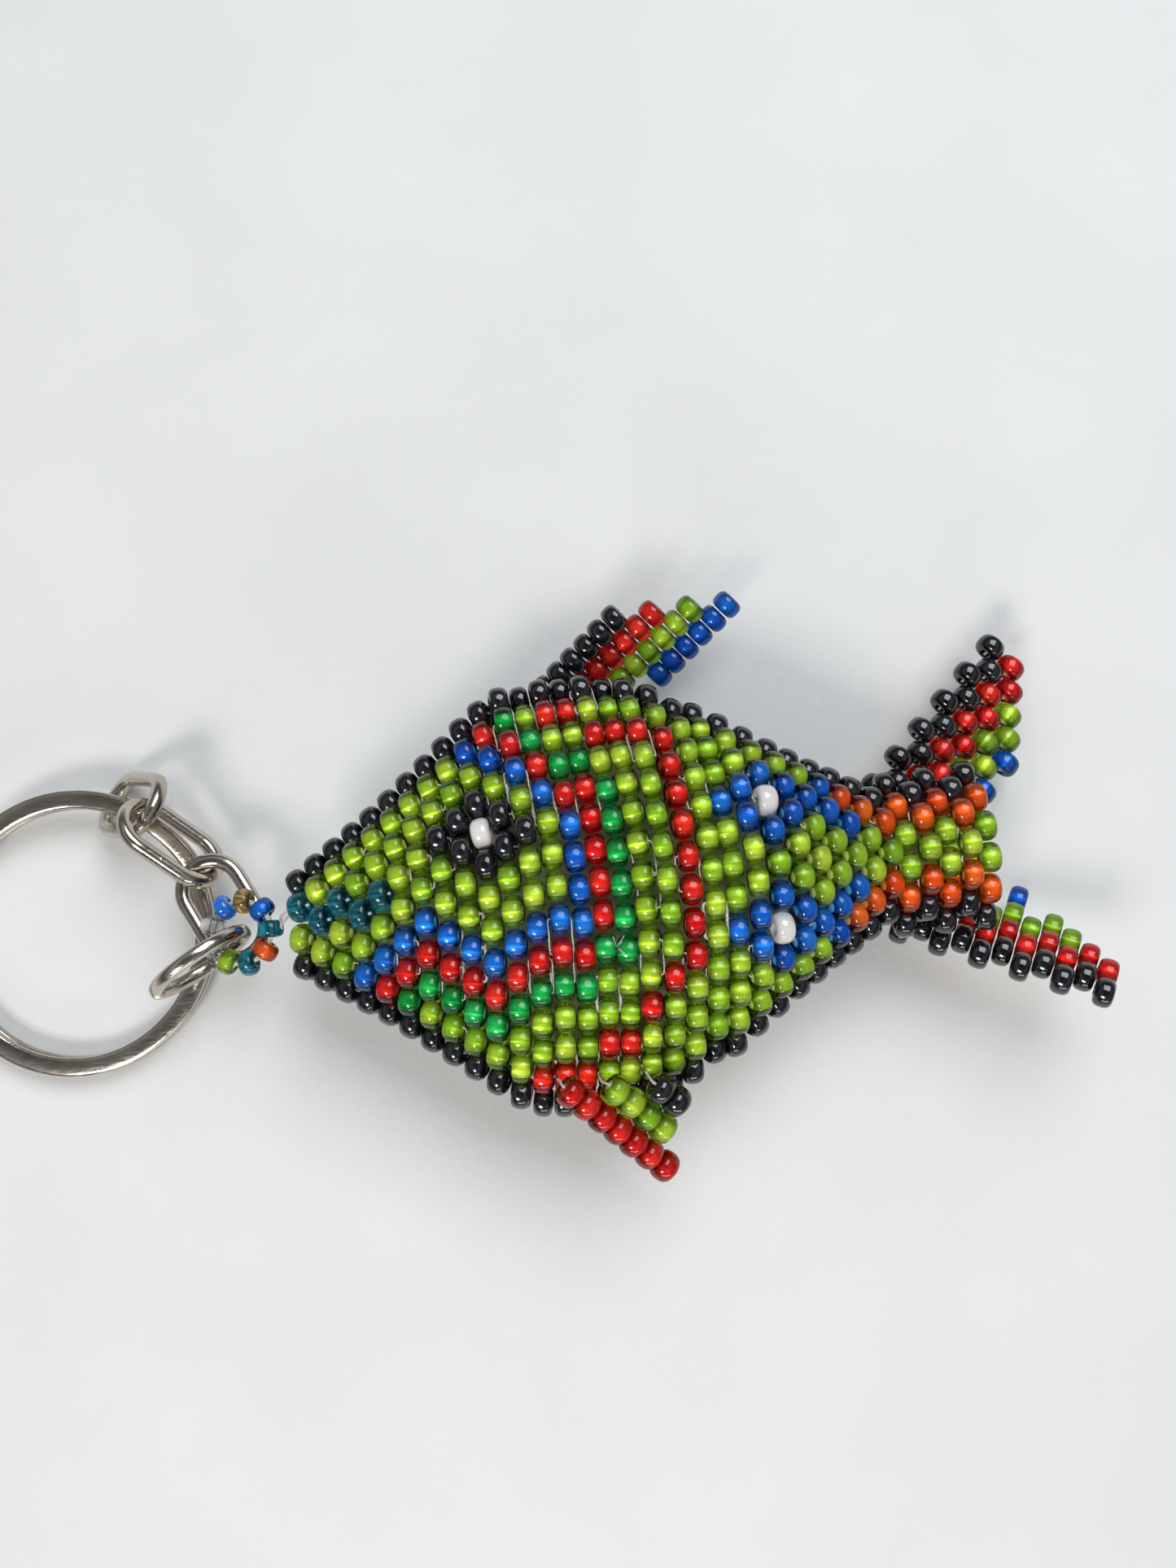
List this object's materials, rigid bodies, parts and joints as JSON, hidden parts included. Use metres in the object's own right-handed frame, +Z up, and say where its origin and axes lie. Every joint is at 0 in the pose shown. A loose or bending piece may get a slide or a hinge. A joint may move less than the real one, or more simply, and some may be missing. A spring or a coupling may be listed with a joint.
{
  "type": "beaded fish key ring",
  "caption": "Hollow fish sewn from glass seed beads in brick stitch, with fins, a forked tail and a bead loop at the nose, on a short steel chain with a split key ring.",
  "frame": {"origin": "centre of the split ring's hole, on the surface that the fish and the ring lie on", "axes": "+X from the fish's nose towards its tail, +Y towards its back fin, +Z up from the surface; the fish lies on its side"},
  "size_m": [0.1009, 0.0486, 0.0185],
  "materials": {
    "stuffing": "white polyester stuffing",
    "thread": "white sewing thread",
    "black_bead": "opaque glossy black glass bead",
    "teal_bead": "transparent teal glass bead",
    "lime_bead": "silver-lined lime green glass bead",
    "green_bead": "silver-lined dark green glass bead",
    "red_bead": "silver-lined red glass bead",
    "blue_bead": "silver-lined blue glass bead",
    "orange_bead": "silver-lined orange glass bead",
    "white_bead": "opaque white glass bead",
    "sky_bead": "opaque sky blue glass bead",
    "amber_bead": "clear amber glass bead",
    "clear_bead": "clear glass bead",
    "steel": "nickel-plated steel wire, polished, with fine wear"
  },
  "bodies": {
    "fish_body": {"stuffing_core": "stuffing", "thread_lining": "thread", "edge_beads_black": "black_bead", "nose_beads_teal": "teal_bead", "head_beads_lime": "lime_bead", "middle_beads_lime": "lime_bead", "rear_beads_lime": "lime_bead", "stripe_beads_green": "green_bead", "stripe_beads_red": "red_bead", "stripe_beads_blue": "blue_bead", "eye_beads_black": "black_bead", "eye_centre_white": "white_bead", "flower_beads_blue": "blue_bead", "flower_centres_white": "white_bead", "stem_beads_orange": "orange_bead"},
    "dorsal_fin": {"dorsal_fin_black": "black_bead", "dorsal_fin_red": "red_bead", "dorsal_fin_lime": "lime_bead", "dorsal_fin_blue": "blue_bead", "dorsal_fin_thread": "thread"},
    "ventral_fin": {"ventral_fin_red": "red_bead", "ventral_fin_lime": "lime_bead", "ventral_fin_black": "black_bead", "ventral_fin_thread": "thread"},
    "upper_tail": {"upper_tail_black": "black_bead", "upper_tail_red": "red_bead", "upper_tail_lime": "lime_bead", "upper_tail_blue": "blue_bead"},
    "lower_tail": {"lower_tail_black": "black_bead", "lower_tail_red": "red_bead", "lower_tail_lime": "lime_bead", "lower_tail_blue": "blue_bead"},
    "nose_loop": {"loop_bead_teal_1": "teal_bead", "loop_bead_royal_2": "blue_bead", "loop_bead_amber_3": "amber_bead", "loop_bead_sky_4": "sky_bead", "loop_bead_clear_5": "clear_bead", "loop_bead_clear_6": "clear_bead", "loop_bead_lime_7": "lime_bead", "loop_bead_teal_8": "teal_bead", "loop_bead_orange_9": "orange_bead", "loop_thread": "thread"},
    "jump_ring": {"jump_ring": "steel"},
    "link_3": {"chain_link_3": "steel"},
    "link_2": {"chain_link_2": "steel"},
    "link_1": {"chain_link_1": "steel"},
    "split_ring": {"split_ring": "steel"}
  },
  "joints": [
    {"name": "dorsal_fin_flex", "type": "hinge", "parent": "fish_body", "child": "dorsal_fin", "pos_m": [0.0424, 0.0148, 0.0052], "axis": [0.9781, 0.061, -0.199], "range_deg": [-10, 3], "stiffness_Nm_per_rad": 0.002},
    {"name": "ventral_fin_flex", "type": "hinge", "parent": "fish_body", "child": "ventral_fin", "pos_m": [0.041, -0.0166, 0.0156], "axis": [0.9941, -0.085, -0.068], "range_deg": [-10, 3], "stiffness_Nm_per_rad": 0.002},
    {"name": "upper_tail_flex", "type": "hinge", "parent": "fish_body", "child": "upper_tail", "pos_m": [0.0696, 0.0028, 0.0066], "axis": [0.6308, -0.731, -0.2603], "range_deg": [-8, 2], "stiffness_Nm_per_rad": 0.002},
    {"name": "lower_tail_flex", "type": "hinge", "parent": "fish_body", "child": "lower_tail", "pos_m": [0.0698, -0.0077, 0.0059], "axis": [0.4559, 0.5329, -0.7129], "range_deg": [-1, 6], "stiffness_Nm_per_rad": 0.002},
    {"name": "nose_loop_swing", "type": "hinge", "parent": "fish_body", "child": "nose_loop", "pos_m": [0.0209, -0.00225, 0.009], "axis": [0, 1, 0], "range_deg": [-20, 20]},
    {"name": "jump_ring_swing", "type": "hinge", "parent": "nose_loop", "child": "jump_ring", "pos_m": [0.01624, -0.0021, 0.0085], "axis": [0, 0, 1], "range_deg": [-25, 25]},
    {"name": "chain_link_3_swing", "type": "hinge", "parent": "jump_ring", "child": "link_3", "pos_m": [0.0155, -0.0025, 0.006], "axis": [0.5159, 0.296, 0.8039], "range_deg": [-20, 20]},
    {"name": "chain_link_2_swing", "type": "hinge", "parent": "link_3", "child": "link_2", "pos_m": [0.0122, 0.0042, 0.006], "axis": [0.8964, 0.4432, 0], "range_deg": [-2, 20]},
    {"name": "chain_link_1_swing", "type": "hinge", "parent": "link_2", "child": "link_1", "pos_m": [0.00717, 0.00916, 0.00815], "axis": [0.182, 0.6321, -0.7532], "range_deg": [-2, 15]},
    {"name": "split_ring_turn", "type": "hinge", "parent": "link_1", "child": "split_ring", "pos_m": [-0.00002, -0.00004, 0.00207], "axis": [-0.0436, -0.0755, 0.9962], "continuous": true}
  ]
}
